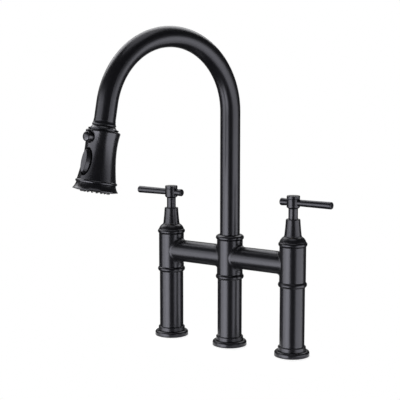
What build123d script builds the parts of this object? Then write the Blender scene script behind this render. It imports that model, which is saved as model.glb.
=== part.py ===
from build123d import *
import math
import os

# A three-leg bridge kitchen faucet with two cross-bar handles and a pull-down spray head.
# Millimetres. The origin is where the axis of the centre leg meets the deck, +Z is up,
# +X runs along the bridge to the right handle and -Y points to the person at the sink.

# ---------------------------------------------------------------- driving dimensions

# Layout
handle_spacing = 203.2  # between the two handle axes, 8 in
slip = 0.05  # radial clearance of pieces that are put together and stay still
running = 0.06  # radial clearance of a piece that turns in its bore
clearance = 0.4  # between pieces that move past each other
edge_break = 0.4  # chamfer on turned edges

# Deck flange and its gasket
flange_radius = 24.0
flange_gap = 0.6  # the flange stands this far off the deck, on its gasket
flange_thickness = 7.0
flange_round = 3.2
flange_neck_radius = 19.05
flange_neck_height = 6.0
flange_neck_round = 1.2
gasket_inner = 18.2
gasket_width = 4.2
gasket_thickness = 2.0

# Leg
leg_radius = 17.0
leg_wall = 1.6
leg_length = 81.0  # of tube that shows between flange and ring
ring_height = 7.0
ring_bulge = 2.4  # how far the ring stands out of the leg
inlet_radius = 13.2
inlet_bore = 6.0
inlet_thread = 9.3  # minor radius of the G1/2 supply thread
shank_thread = 13.2  # minor radius of the M28 x 1.5 centre thread
shank_height = 20.0
thread_length = 15.0
foot_height = 10.0

# Bodies and bridge
body_radius = 18.0
body_height = 48.4
bridge_radius = 15.57
bridge_wall = 1.6
bridge_drop = 0.1  # bridge axis below the middle of the bodies
waterway_radius = 6.5
waterway_wall = 1.5
waterway_entry = 3.5  # how deep its ends sit in the bodies
socket_depth = 6.4  # of the inlet tube in the valve body
seat_thickness = 2.0
seat_bore = 8.0
chamber_radius = 13.5

# Bonnet, and the collar of the same section round the spout
bead_height = 6.0
bead_bulge = 1.6
dome_height = 7.1
dome_top_radius = 12.4
dome_crown = 0.95  # how far the dome stands out from a straight cone
bonnet_spigot = 4.0
bonnet_cavity = 12.2
bonnet_bore = 9.3
bonnet_roof = 5.1

# Ceramic disc cartridge
cartridge_radius = 10.4
cartridge_neck = 8.9
cartridge_flange_height = 6.0
cartridge_flange_rise = 21.0
disc_chamber_radius = 8.0
disc_chamber_height = 15.0
window_width = 8.0
window_height = 8.0
seal_base = 3.0
seal_lip = 4.6
seal_bore = 5.5
disc_thickness = 3.2
disc_gap = 0.3
disc_port_radius = 1.9
disc_port_offset = 3.9
stem_radius = 4.0
stem_foot_radius = 6.4
nut_height = 5.6
nut_across_flats = 20.8

# Handle
cone_bottom_radius = 12.1
cone_waist_radius = 10.5
cone_top_radius = 9.72
cone_height = 23.5
cone_lip = 1.2
cone_round = 1.2
cone_cavity = 9.0
cone_seat = 9.0  # length of the post that sits in the cone
post_tail = 2.0
post_radius = 6.4
post_length = 13.8  # that shows between cone and hub
hub_radius = 8.95
hub_chamfer = 2.2
hub_height = 13.4
hub_cap_height = 4.2
lever_rise = 8.4  # lever axis above the bottom of the hub
lever_length = 58.8
lever_root_radius = 4.5
lever_tip_radius = 4.95
knob_length = 19.3
knob_root_radius = 4.65
knob_tip_radius = 5.2
lever_round = 1.6
lever_shank_radius = 3.4
lever_shank_entry = 5.6
lever_seat = 7.4  # the lever and knob shoulders stand this far from the hub's axis
set_screw_radius = 2.0
set_screw_key = 1.0
set_screw_recess = 0.5

# Spout
spout_margin = 4.15  # from the outside of the tube to that of the body
tube_wall = 1.235
spout_rise = 176.8  # straight tube above the centre body
arch_radius = 101.3
arch_sweep = 169.9
spout_turn = 16.6  # degrees, how far the spout is swung to the left of straight ahead
neck_length = 25.6  # straight tube after the arch
bushing_share = 0.46  # of the room between the spout and the outside of the body
bushing_gap = 0.8  # between the bridge waterways and the bushing
bushing_floor = 1.2
bushing_ledge = 2.4  # of the centre body that the bushing stands on
hose_guide_wall = 0.9
collar_rise = 1.2  # of the spout collar above its bead
collar_shoulder_rise = 0.9
collar_shoulder_inset = 3.2
o_ring_share = 0.37  # of the bushing's wall that an O-ring's radius takes
o_ring_count = 2
outlet_pipe_radius = 2.6
outlet_pipe_offset = 11.4
outlet_pipe_wall = 0.6
floor_thickness = 4.4

# Spray head, stations measured along its axis from the end of the arch
head_turn = 9.0  # degrees, how far the head is turned in its dock
neck_collar_step = 1.55  # how far it stands out of the tube
neck_collar_length = 7.0
neck_collar_cover = 3.2  # of tube inside the collar
neck_collar_edge = 0.3  # thickness of its upper edge
neck_collar_hollow = 0.42  # of the curve from the tube to its lip
neck_collar_lip = 1.7
dock_length = 17.6
dock_wall = 2.365
head_ring_radius = 19.45
head_ring_station = 3.5  # below the head's top face
head_ring_thickness = 1.1
head_shoulder_hollow = 0.95  # of the curve from the collar to the ring
head_rim_radius = 22.1
head_rim_station = 8.0
head_rim_lip = 1.2
head_waist_radius = 20.35
head_waist_station = 27.5
head_belly_radius = 22.2
head_belly_station = 52.2
head_foot_radius = 25.0
head_length = 69.4
head_wall = 2.2
head_roof = 7.2
spigot_length = 14.0
spigot_hose_seat = 11.0
head_pipe_radius = 7.5
head_pipe_bore = 4.5
head_flange_thickness = 3.0
bezel_bead_radius = 26.7
bezel_bead_height = 4.1
bezel_radius = 28.9
bezel_height = 12.7
bezel_lip = 0.9
bezel_hollow = 0.55  # of the curve of its skirt
bezel_wall = 2.0
plate_thickness = 4.8
plate_depth = 3.6  # how far the plate sits inside the bezel
plate_step_share = 0.4  # of the way from the bezel's bore to the inside of its lip
plate_lip = 1.0
plate_bevel = 4.8
nozzle_radius = 1.25
nozzle_length = 1.7  # that stands out of the plate
nozzle_rows = ((18.0, 20), (12.5, 12))  # circle radius and count
pad_thickness = 1.6
aerator_radius = 7.6
aerator_length = 0.8  # that stands out of the plate
aerator_rim = 1.0
aerator_hole_radius = 0.7
aerator_rows = ((5.2, 12), (2.7, 6))  # circle radius and count

# Push button, its pocket, and its spring
button_station = 16.0
button_radius = 6.3
button_top = 29.4  # from the head's axis
button_side_top = 26.9
button_travel = 1.6
button_pocket_radius = 7.1
button_pocket_draft = 11.3  # degrees
button_floor = 17.0
pocket_floor = 1.8  # thickness of both pocket floors
plunger_radius = 2.4
plunger_length = 4.9  # below the underside of the button
plunger_collar_radius = 3.2
button_hollow = 4.8
spring_radius = 3.6
spring_wire = 0.35
spring_turns = 5

# Rocker, its pocket and its pin
rocker_station = 47.0
rocker_tilt = 5.0  # degrees, follows the flare of the head
rocker_seat = 21.6  # from the head's axis to the rocker's rim plane
rocker_length = 31.8
rocker_width = 13.4
rocker_rise = 4.7  # of the middle of its face above the rim plane
rocker_crown = 0.5  # how much lower the face is at its sides
rocker_lean = 2.1  # how far its flanks lean in
rocker_round = 0.7
rocker_skirt = 2.8
rocker_pocket_depth = 4.4
rocker_pocket_margin = 1.7
rocker_pocket_slope = 25  # degrees
rocker_pin_depth = 7.6
rocker_pin_radius = 1.0
rocker_lug_width = 4.8
rocker_lug_length = 4.4
bracket_width = 2.0
bracket_depth = 9.6

# Hose
hose_radius = 6.5
hose_wall = 2.1

# ---------------------------------------------------------------- derived places

leg_spacing = handle_spacing / 2
side_legs = {"left": -leg_spacing, "right": leg_spacing}
legs = {"left": -leg_spacing, "centre": 0.0, "right": leg_spacing}

flange_shoulder = flange_gap + flange_thickness
flange_top = flange_shoulder + flange_neck_height
leg_top = flange_top + leg_length
leg_bore = leg_radius - leg_wall
body_bottom = leg_top + ring_height
body_top = body_bottom + body_height
bridge_z = body_bottom + body_height / 2 - bridge_drop
bead_radius = body_radius + bead_bulge
bead_top = body_top + bead_height
dome_top = bead_top + dome_height
inlet_top = body_bottom + socket_depth
seat_z = inlet_top + seat_thickness

cartridge_bottom = seat_z + seal_base
cartridge_shoulder = cartridge_bottom + cartridge_flange_rise
cartridge_top = dome_top - disc_gap
chamber_top = cartridge_bottom + disc_chamber_height
fixed_disc_z = cartridge_bottom + seal_lip
moving_disc_z = fixed_disc_z + disc_thickness + disc_gap
stem_bottom = moving_disc_z + disc_thickness
nut_z = cartridge_shoulder + cartridge_flange_height

cone_bottom = dome_top + clearance
cone_top = cone_bottom + cone_height
post_bottom = cone_top - cone_seat - post_tail
hub_bottom = cone_top + post_length
hub_top = hub_bottom + hub_height
lever_z = hub_bottom + lever_rise
stem_top = cone_top - cone_round
set_screw_z = cone_top - cone_seat / 2

chamber_floor = body_bottom + floor_thickness
tube_radius = body_radius - spout_margin
spout_bore = tube_radius + running
bushing_radius = spout_bore + bushing_share * (body_radius - spout_bore)
bushing_bottom = bridge_z + waterway_radius + bushing_gap
bushing_top = body_top - bonnet_spigot
seat_height = bushing_top - bushing_bottom - bushing_floor
tail_bottom = bushing_bottom + bushing_floor + disc_gap
o_ring_section = o_ring_share * (bushing_radius - spout_bore)
o_ring_heights = [seat_height * (number + 1) / (o_ring_count + 1) for number in range(o_ring_count)]
arch_base = body_top + spout_rise
hose_bottom = thread_length + 2.0

turn = math.radians(spout_turn)
lean = math.radians(180 - arch_sweep)
reach = Vector(-math.sin(turn), -math.cos(turn), 0)  # level direction the spout points in
down = reach * math.sin(lean) + Vector(0, 0, -math.cos(lean))  # along the spray head
straight_front = reach * math.cos(lean) + Vector(0, 0, math.sin(lean))
front = straight_front.rotate(Axis((0, 0, 0), down), -head_turn)  # out of the button side
side = front.cross(down)
arch_reach = arch_radius * (1 + math.cos(lean))
arch_end_z = arch_base + arch_radius * math.sin(lean)
arch_end = reach * arch_reach + Vector(0, 0, arch_end_z)

neck_collar_radius = tube_radius + neck_collar_step
dock_outer = tube_radius - tube_wall - slip
dock_bore = dock_outer - dock_wall
collar_end = neck_length - neck_collar_cover + neck_collar_length
head_start = collar_end + clearance
head_end = head_start + head_length
bezel_end = head_end + bezel_height
head_flange_end = bezel_end - plate_depth - pad_thickness
plate_start = head_flange_end + pad_thickness
plate_end = plate_start + plate_thickness
bezel_bore = head_foot_radius - bezel_wall
plate_step_radius = bezel_bore + plate_step_share * (bezel_radius - bezel_lip - bezel_bore)

os.makedirs("parts", exist_ok=True)


# ---------------------------------------------------------------- helpers


def keep(piece, name):
    """Label a finished piece and write it."""
    piece.part.label = name
    export_step(piece.part, f"parts/{name}.step")


def section(x):
    """Plane through an upright axis at x: local x is the radius, local y the height."""
    return Plane(origin=(x, 0, 0), x_dir=(1, 0, 0), z_dir=(0, -1, 0))


def upright(x):
    return Axis((x, 0, 0), (0, 0, 1))


def level(x, z):
    return Plane(origin=(x, 0, z), x_dir=(1, 0, 0), z_dir=(0, 0, 1))


def along_x(x, z, way=1):
    """Plane square to the bridge: local z points along +X, or -X where way is -1."""
    return Plane(origin=(x, 0, z), x_dir=(0, 1, 0), z_dir=(way, 0, 0))


head_section = Plane(origin=arch_end, x_dir=front, z_dir=side)
head_axis = Axis(arch_end, down)


def head_level(station):
    """Plane square to the spray head's axis: local z points down the head."""
    return Plane(origin=arch_end + down * station, x_dir=front, z_dir=down)


def head_front(station, distance):
    """Plane facing out of the head's front: local x runs down the head."""
    return Plane(origin=arch_end + down * station + front * distance, x_dir=down, z_dir=front)


def bowed(start, end, amount):
    """Middle of an arc that stands this far to the right of the line between two points."""
    run = end[0] - start[0]
    rise = end[1] - start[1]
    length = math.hypot(run, rise)
    return (
        (start[0] + end[0]) / 2 + rise / length * amount,
        (start[1] + end[1]) / 2 - run / length * amount,
    )


def extrude_ring(plane, outer, inner, length):
    """Straight tube that starts on a plane."""
    with BuildPart() as tube:
        with BuildSketch(plane):
            Circle(outer)
            Circle(inner, mode=Mode.SUBTRACT)
        extrude(amount=length)
    return tube


def turned(plane, axis, points):
    """Solid of revolution with a straight-sided section."""
    with BuildPart() as piece:
        with BuildSketch(plane):
            with BuildLine():
                Polyline(*points, close=True)
            make_face()
        revolve(axis=axis)
    return piece


# ---------------------------------------------------------------- legs


def deck_flange(x):
    bore = leg_radius + slip
    groove_top = gasket_thickness
    gasket_outer = gasket_inner + gasket_width
    with BuildPart() as flange:
        with BuildSketch(section(x)) as outline:
            with BuildLine():
                Polyline(
                    (bore, flange_gap),
                    (gasket_inner, flange_gap),
                    (gasket_inner, groove_top),
                    (gasket_outer, groove_top),
                    (gasket_outer, flange_gap),
                    (flange_radius, flange_gap),
                    (flange_radius, flange_shoulder),
                    (flange_neck_radius, flange_shoulder),
                    (flange_neck_radius, flange_top),
                    (bore, flange_top),
                    close=True,
                )
            make_face()
            outer_corner = outline.vertices().group_by(Axis.X)[-1].sort_by(Axis.Y)[-1]
            fillet(outer_corner, flange_round)
            top_corner = outline.vertices().group_by(Axis.Y)[-1].sort_by(Axis.X)[-1]
            fillet(top_corner, flange_neck_round)
        revolve(axis=upright(x))
    return flange


def leg_ring(x, bore):
    bulge_radius = leg_radius + ring_bulge + edge_break / 2
    with BuildPart() as ring:
        with BuildSketch(section(x)):
            with BuildLine():
                low = (leg_radius + edge_break / 2, leg_top)
                high = (body_radius - edge_break, body_bottom)
                ThreePointArc(low, (bulge_radius, (leg_top + body_bottom) / 2), high)
                Polyline(high, (bore, body_bottom), (bore, leg_top), low)
            make_face()
        revolve(axis=upright(x))
    return ring


def inlet_tube(x):
    """Supply tube of a side leg: a foot with the supply thread, and a plain top."""
    foot_radius = leg_bore - slip
    points = (
        (inlet_thread, 0),
        (foot_radius, 0),
        (foot_radius, foot_height),
        (inlet_radius, foot_height),
        (inlet_radius, inlet_top),
        (inlet_bore, inlet_top),
        (inlet_bore, thread_length),
        (inlet_thread, thread_length),
    )
    return turned(section(x), upright(x), points)


for name, x in legs.items():
    ring_bore = inlet_radius + slip if name in side_legs else leg_bore - edge_break
    keep(deck_flange(x), f"{name}_deck_flange")
    leg = extrude_ring(level(x, flange_gap), leg_radius, leg_bore, leg_top - flange_gap)
    keep(leg, f"{name}_leg_tube")
    keep(leg_ring(x, ring_bore), f"{name}_leg_ring")

for name, x in side_legs.items():
    keep(inlet_tube(x), f"{name}_inlet_tube")

# The centre leg stands on a short threaded shank that the hose passes through.
shank_radius = leg_bore - slip
shank_clear = outlet_pipe_offset + outlet_pipe_radius + clearance
shank_points = (
    (shank_thread, 0),
    (shank_radius, 0),
    (shank_radius, shank_height),
    (shank_clear, shank_height),
    (shank_clear, thread_length),
    (shank_thread, thread_length),
)
keep(turned(section(0), upright(0), shank_points), "centre_shank")

with BuildPart() as deck_gaskets:
    with BuildSketch(Plane.XY):
        with Locations(*[(x, 0) for x in legs.values()]):
            Circle(gasket_inner + gasket_width)
            Circle(gasket_inner, mode=Mode.SUBTRACT)
    extrude(amount=gasket_thickness)
keep(deck_gaskets, "deck_gaskets")

# ---------------------------------------------------------------- bodies and bridge


def port_face(x, direction):
    """Section of a side port for the bridge waterway."""
    with BuildSketch(along_x(x, bridge_z, direction)) as port:
        Circle(waterway_radius + slip)
    return port.sketch


def valve_body(x, direction):
    socket = inlet_radius + slip
    with BuildPart() as body:
        with BuildSketch(section(x)):
            with BuildLine():
                Polyline(
                    (socket, body_bottom),
                    (body_radius - edge_break, body_bottom),
                    (body_radius, body_bottom + edge_break),
                    (body_radius, body_top - edge_break),
                    (body_radius - edge_break, body_top),
                    (chamber_radius, body_top),
                    (chamber_radius, seat_z),
                    (seat_bore, seat_z),
                    (seat_bore, inlet_top),
                    (socket, inlet_top),
                    close=True,
                )
            make_face()
        revolve(axis=upright(x))
        extrude(port_face(x, direction), amount=body_radius + edge_break, mode=Mode.SUBTRACT)
    return body


keep(valve_body(-leg_spacing, 1), "left_valve_body")
keep(valve_body(leg_spacing, -1), "right_valve_body")

# The centre body is a mixing chamber below and the spout's bearing seat above.
bushing_seat = bushing_radius + slip
mixing_radius = bushing_radius - bushing_ledge
hose_guide_inner = hose_radius + 2 * clearance
hose_guide_outer = hose_guide_inner + hose_guide_wall
with BuildPart() as centre_body:
    with BuildSketch(section(0)):
        with BuildLine():
            Polyline(
                (hose_guide_outer + slip, body_bottom),
                (body_radius - edge_break, body_bottom),
                (body_radius, body_bottom + edge_break),
                (body_radius, body_top - edge_break),
                (body_radius - edge_break, body_top),
                (bushing_seat, body_top),
                (bushing_seat, bushing_bottom),
                (mixing_radius, bushing_bottom),
                (mixing_radius, chamber_floor),
                (hose_guide_outer + slip, chamber_floor),
                close=True,
            )
        make_face()
    revolve(axis=upright(0))
    for way in (1, -1):
        extrude(port_face(0, way), amount=body_radius + edge_break, mode=Mode.SUBTRACT)
    with BuildSketch(Plane.XY.offset(body_bottom)):
        with Locations((-outlet_pipe_offset, 0)):
            Circle(outlet_pipe_radius + slip)
    extrude(amount=floor_thickness, mode=Mode.SUBTRACT)
keep(centre_body, "centre_body")

for name, x in (("left", -leg_spacing), ("right", 0.0)):
    with BuildPart() as bridge_tube:
        with BuildSketch(along_x(x, bridge_z)):
            Circle(bridge_radius)
            Circle(bridge_radius - bridge_wall, mode=Mode.SUBTRACT)
        extrude(amount=leg_spacing)
        for end in (x, x + leg_spacing):
            with BuildSketch(level(end, bridge_z)):
                Circle(body_radius + slip)
            extrude(amount=2 * bridge_radius, both=True, mode=Mode.SUBTRACT)
    keep(bridge_tube, f"{name}_bridge_tube")

waterway_inset = body_radius - waterway_entry
with BuildPart() as bridge_waterways:
    for x in (-leg_spacing, 0.0):
        with BuildSketch(along_x(x + waterway_inset, bridge_z)):
            Circle(waterway_radius)
            Circle(waterway_radius - waterway_wall, mode=Mode.SUBTRACT)
        extrude(amount=leg_spacing - 2 * waterway_inset)
keep(bridge_waterways, "bridge_waterways")

# ---------------------------------------------------------------- bonnets and cartridges


def bonnet(x):
    """Bead and dome over a valve body, with a threaded spigot inside the body."""
    spigot = chamber_radius - slip
    with BuildPart() as cover:
        with BuildSketch(section(x)):
            with BuildLine():
                foot = (body_radius - edge_break / 2, body_top)
                neck = (body_radius, bead_top)
                crown = (dome_top_radius, dome_top)
                ThreePointArc(foot, (bead_radius, body_top + bead_height / 2), neck)
                ThreePointArc(neck, bowed(neck, crown, dome_crown), crown)
                Polyline(
                    crown,
                    (bonnet_bore, dome_top),
                    (bonnet_bore, dome_top - bonnet_roof),
                    (bonnet_cavity, dome_top - bonnet_roof),
                    (bonnet_cavity, body_top - bonnet_spigot),
                    (spigot, body_top - bonnet_spigot),
                    (spigot, body_top),
                    foot,
                )
            make_face()
        revolve(axis=upright(x))
    return cover


def cartridge_body(x):
    """Brass cartridge: disc chamber open below, stem bore above, two side windows."""
    bore = stem_radius + running
    thread = chamber_radius - slip
    with BuildPart() as cartridge:
        with BuildSketch(section(x)):
            with BuildLine():
                Polyline(
                    (disc_chamber_radius, cartridge_bottom),
                    (cartridge_radius, cartridge_bottom),
                    (cartridge_radius, cartridge_shoulder),
                    (thread, cartridge_shoulder),
                    (thread, nut_z),
                    (cartridge_neck, nut_z),
                    (cartridge_neck, cartridge_top),
                    (bore, cartridge_top),
                    (bore, chamber_top),
                    (disc_chamber_radius, chamber_top),
                    close=True,
                )
            make_face()
        revolve(axis=upright(x))
        with BuildSketch(along_x(x, moving_disc_z + disc_thickness / 2)):
            Rectangle(window_width, window_height)
        extrude(amount=chamber_radius, both=True, mode=Mode.SUBTRACT)
    return cartridge


def stem(x):
    points = (
        (0, stem_bottom),
        (stem_foot_radius, stem_bottom),
        (stem_foot_radius, chamber_top - disc_gap),
        (stem_radius, chamber_top - disc_gap),
        (stem_radius, stem_top),
        (0, stem_top),
    )
    return turned(section(x), upright(x), points)


def disc_face(x, z, radius):
    """Face of a ceramic disc with two water ports."""
    with BuildSketch(level(x, z)) as disc:
        Circle(radius)
        with Locations((-disc_port_offset, 0), (disc_port_offset, 0)):
            Circle(disc_port_radius, mode=Mode.SUBTRACT)
    return disc.sketch


for name, x in side_legs.items():
    keep(bonnet(x), f"{name}_bonnet")
    keep(cartridge_body(x), f"{name}_cartridge_body")
    keep(stem(x), f"{name}_valve_stem")
    with BuildPart() as moving_disc:
        extrude(disc_face(x, moving_disc_z, disc_chamber_radius - clearance), amount=disc_thickness)
    keep(moving_disc, f"{name}_moving_disc")

with BuildPart() as fixed_discs:
    for x in side_legs.values():
        extrude(disc_face(x, fixed_disc_z, disc_chamber_radius - slip), amount=disc_thickness)
keep(fixed_discs, "fixed_discs")

with BuildPart() as seat_seals:
    for x in side_legs.values():
        with BuildSketch(section(x)):
            with BuildLine():
                Polyline(
                    (seal_bore, seat_z),
                    (cartridge_radius, seat_z),
                    (cartridge_radius, cartridge_bottom),
                    (disc_chamber_radius - slip, cartridge_bottom),
                    (disc_chamber_radius - slip, fixed_disc_z),
                    (seal_bore, fixed_disc_z),
                    close=True,
                )
            make_face()
        revolve(axis=upright(x))
keep(seat_seals, "seat_seals")

with BuildPart() as cartridge_nuts:
    for x in side_legs.values():
        with BuildSketch(level(x, nut_z)):
            RegularPolygon(nut_across_flats / 2, 6, major_radius=False)
            Circle(cartridge_neck + slip, mode=Mode.SUBTRACT)
        extrude(amount=nut_height)
keep(cartridge_nuts, "cartridge_nuts")

# ---------------------------------------------------------------- handles


def set_screw_face(x, y, radius):
    """Section of the grub screw, or of its hole, in the back of a handle."""
    with BuildSketch(Plane(origin=(x, y, set_screw_z), x_dir=(1, 0, 0), z_dir=(0, 1, 0))) as round_face:
        Circle(radius)
    return round_face.sketch


def handle_cone(x):
    seat = post_radius + slip
    lip_top = cone_bottom + cone_lip
    with BuildPart() as cone:
        with BuildSketch(section(x)) as outline:
            with BuildLine():
                rim = (cone_bottom_radius - edge_break, lip_top)
                shoulder = (cone_top_radius, cone_top)
                middle = (cone_waist_radius, (lip_top + cone_top) / 2)
                ThreePointArc(rim, middle, shoulder)
                Polyline(
                    shoulder,
                    (seat, cone_top),
                    (seat, cone_top - cone_seat),
                    (cone_cavity, cone_top - cone_seat - post_tail),
                    (cone_cavity, cone_bottom),
                    (cone_bottom_radius - edge_break / 2, cone_bottom),
                    (cone_bottom_radius, cone_bottom + edge_break / 2),
                    (cone_bottom_radius, lip_top - edge_break),
                    rim,
                )
            make_face()
            top_corner = outline.vertices().group_by(Axis.Y)[-1].sort_by(Axis.X)[-1]
            fillet(top_corner, cone_round)
        revolve(axis=upright(x))
        hole = set_screw_face(x, 0, set_screw_radius + slip)
        extrude(hole, amount=cone_bottom_radius, mode=Mode.SUBTRACT)
    return cone


def handle_post(x, direction):
    """Neck and hub turned as one, bored for the stem below and the lever across."""
    socket = stem_radius + slip
    with BuildPart() as post:
        with BuildSketch(section(x)):
            with BuildLine():
                Polyline(
                    (socket, post_bottom),
                    (post_radius, post_bottom),
                    (post_radius, hub_bottom),
                    (hub_radius, hub_bottom + hub_chamfer),
                    (hub_radius, hub_top - edge_break),
                    (hub_radius - edge_break, hub_top),
                    (0, hub_top),
                    (0, stem_top + slip),
                    (socket, stem_top + slip),
                    close=True,
                )
            make_face()
        revolve(axis=upright(x))
        with BuildSketch(along_x(x, lever_z)):
            Circle(lever_shank_radius + slip)
        extrude(amount=hub_radius, both=True, mode=Mode.SUBTRACT)
        for way, radius in ((direction, lever_root_radius), (-direction, knob_root_radius)):
            with BuildSketch(along_x(x + way * lever_seat, lever_z, way)):
                Circle(radius + slip)
            extrude(amount=hub_radius, mode=Mode.SUBTRACT)
        hole = set_screw_face(x, 0, set_screw_radius + slip)
        extrude(hole, amount=cone_bottom_radius, mode=Mode.SUBTRACT)
    return post


def bar_section(x, direction):
    """Plane through the lever's axis: local x runs out along the lever."""
    return Plane(origin=(x, 0, lever_z), x_dir=(direction, 0, 0), z_dir=(0, -direction, 0))


def lever_bar(x, direction):
    """Long arm, with the shank that passes the hub and screws into the knob."""
    with BuildPart() as bar:
        with BuildSketch(bar_section(x, direction)) as outline:
            with BuildLine():
                Polyline(
                    (-lever_seat - lever_shank_entry, 0),
                    (lever_length, 0),
                    (lever_length, lever_tip_radius),
                    (hub_radius, lever_root_radius),
                    (lever_seat, lever_root_radius),
                    (lever_seat, lever_shank_radius),
                    (-lever_seat - lever_shank_entry, lever_shank_radius),
                    close=True,
                )
            make_face()
            tip = outline.vertices().group_by(Axis.X)[-1].sort_by(Axis.Y)[-1]
            fillet(tip, lever_round)
        revolve(axis=Axis((x, 0, lever_z), (direction, 0, 0)))
    return bar


def lever_knob(x, direction):
    socket = lever_shank_radius + slip
    socket_end = lever_seat + lever_shank_entry + slip
    with BuildPart() as knob:
        with BuildSketch(bar_section(x, -direction)) as outline:
            with BuildLine():
                Polyline(
                    (socket_end, 0),
                    (knob_length, 0),
                    (knob_length, knob_tip_radius),
                    (hub_radius, knob_root_radius),
                    (lever_seat, knob_root_radius),
                    (lever_seat, socket),
                    (socket_end, socket),
                    close=True,
                )
            make_face()
            tip = outline.vertices().group_by(Axis.X)[-1].sort_by(Axis.Y)[-1]
            fillet(tip, lever_round)
        revolve(axis=Axis((x, 0, lever_z), (-direction, 0, 0)))
    return knob


def hub_cap(x):
    cap_top = hub_top + hub_cap_height
    points = (
        (0, hub_top),
        (hub_radius - edge_break, hub_top),
        (hub_radius, hub_top + edge_break),
        (hub_radius, cap_top - edge_break),
        (hub_radius - edge_break, cap_top),
        (0, cap_top),
    )
    return turned(section(x), upright(x), points)


def set_screw(x):
    """Grub screw in the back of the cone that locks the handle to the stem."""
    start = stem_radius + slip
    end = cone_top_radius - set_screw_recess
    with BuildPart() as screw:
        extrude(set_screw_face(x, start, set_screw_radius), amount=end - start)
        with BuildSketch(Plane(origin=(x, end, set_screw_z), x_dir=(1, 0, 0), z_dir=(0, -1, 0))):
            RegularPolygon(set_screw_key, 6)
        extrude(amount=set_screw_radius, mode=Mode.SUBTRACT)
    return screw


for name, x in side_legs.items():
    outward = math.copysign(1, x)
    keep(handle_cone(x), f"{name}_handle_cone")
    keep(handle_post(x, outward), f"{name}_handle_post")
    keep(hub_cap(x), f"{name}_hub_cap")
    keep(lever_bar(x, outward), f"{name}_lever_bar")
    keep(lever_knob(x, outward), f"{name}_lever_knob")
    keep(set_screw(x), f"{name}_set_screw")

# ---------------------------------------------------------------- spout bearing

with BuildPart() as spout_collar:
    with BuildSketch(section(0)):
        with BuildLine():
            bore = tube_radius + disc_gap
            foot = (body_radius - edge_break / 2, body_top)
            neck = (body_radius, bead_top)
            ThreePointArc(foot, (bead_radius, body_top + bead_height / 2), neck)
            Polyline(
                neck,
                (bead_radius - collar_shoulder_inset, bead_top + collar_shoulder_rise),
                (bore, bead_top + collar_rise),
                (bore, bushing_top),
                (bushing_radius, bushing_top),
                (bushing_radius, body_top),
                foot,
            )
        make_face()
    revolve(axis=upright(0))
keep(spout_collar, "spout_collar")

# The bushing carries the spout, holds both O-rings and guides the hose below it.
groove_half = o_ring_section + slip
groove_radius = spout_bore + 2 * o_ring_section
groove_points = []
for height in o_ring_heights:
    middle = bushing_bottom + bushing_floor + height
    groove_points += [
        (spout_bore, middle - groove_half),
        (groove_radius, middle - groove_half),
        (groove_radius, middle + groove_half),
        (spout_bore, middle + groove_half),
    ]
bushing_points = [
    (hose_guide_inner, body_bottom),
    (hose_guide_outer, body_bottom),
    (hose_guide_outer, bushing_bottom),
    (bushing_radius, bushing_bottom),
    (bushing_radius, bushing_top),
    (spout_bore, bushing_top),
    *reversed(groove_points),
    (spout_bore, bushing_bottom + bushing_floor),
    (hose_guide_inner, bushing_bottom + bushing_floor),
]
keep(turned(section(0), upright(0), bushing_points), "spout_bushing")

with BuildPart() as spout_o_rings:
    with BuildSketch(section(0)):
        for height in o_ring_heights:
            with Locations((spout_bore + o_ring_section, bushing_bottom + bushing_floor + height)):
                Circle(o_ring_section - slip / 2)
    revolve(axis=upright(0))
keep(spout_o_rings, "spout_o_rings")

with BuildPart() as mixed_outlet_pipe:
    with BuildSketch(Plane.XY.offset(hose_bottom)):
        with Locations((-outlet_pipe_offset, 0)):
            Circle(outlet_pipe_radius)
            Circle(outlet_pipe_radius - outlet_pipe_wall, mode=Mode.SUBTRACT)
    extrude(amount=chamber_floor - hose_bottom)
keep(mixed_outlet_pipe, "mixed_outlet_pipe")

# ---------------------------------------------------------------- gooseneck and hose

spout_plane = Plane(origin=(0, 0, 0), x_dir=reach, z_dir=reach.cross(Vector(0, 0, 1)))


def swept_tube(start_z, neck, outer, inner):
    """Tube up the column, over the arch and a way down the neck."""
    bend = (arch_radius, arch_base)
    end = (arch_reach, arch_end_z)
    tip = (end[0] + neck * math.sin(lean), end[1] - neck * math.cos(lean))
    with BuildPart() as tube:
        with BuildLine(spout_plane):
            Line((0, start_z), (0, arch_base))
            CenterArc(bend, arch_radius, 180, -arch_sweep)
            Line(end, tip)
        with BuildSketch(Plane.XY.offset(start_z)):
            Circle(outer)
            Circle(inner, mode=Mode.SUBTRACT)
        sweep()
    return tube


keep(swept_tube(tail_bottom, neck_length, tube_radius, tube_radius - tube_wall), "gooseneck")

hose_end = head_start - spigot_length + spigot_hose_seat
keep(swept_tube(hose_bottom, hose_end, hose_radius, hose_radius - hose_wall), "spray_hose")

with BuildPart() as neck_collar:
    cover_start = neck_length - neck_collar_cover
    with BuildSketch(head_section):
        with BuildLine():
            lip = (tube_radius + slip + neck_collar_edge, cover_start)
            cove_end = (neck_collar_radius - edge_break / 2, collar_end - neck_collar_lip)
            ThreePointArc(lip, bowed(lip, cove_end, -neck_collar_hollow), cove_end)
            Polyline(
                cove_end,
                (neck_collar_radius, collar_end - neck_collar_lip + edge_break / 2),
                (neck_collar_radius, collar_end - edge_break),
                (neck_collar_radius - edge_break, collar_end),
                (dock_bore + slip, collar_end),
                (dock_bore + slip, neck_length),
                (tube_radius + slip, neck_length),
                (tube_radius + slip, cover_start),
                lip,
            )
        make_face()
    revolve(axis=head_axis)
keep(neck_collar, "neck_collar")

dock_guide = extrude_ring(head_level(neck_length - dock_length), dock_outer, dock_bore, dock_length)
keep(dock_guide, "dock_guide")

# ---------------------------------------------------------------- spray head

rocker_out = math.radians(rocker_tilt)
rocker_normal = front * math.cos(rocker_out) - down * math.sin(rocker_out)
rocker_along = down * math.cos(rocker_out) + front * math.sin(rocker_out)
rocker_sideways = rocker_normal.cross(rocker_along)
rocker_centre = arch_end + down * (head_start + rocker_station) + front * rocker_seat


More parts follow.
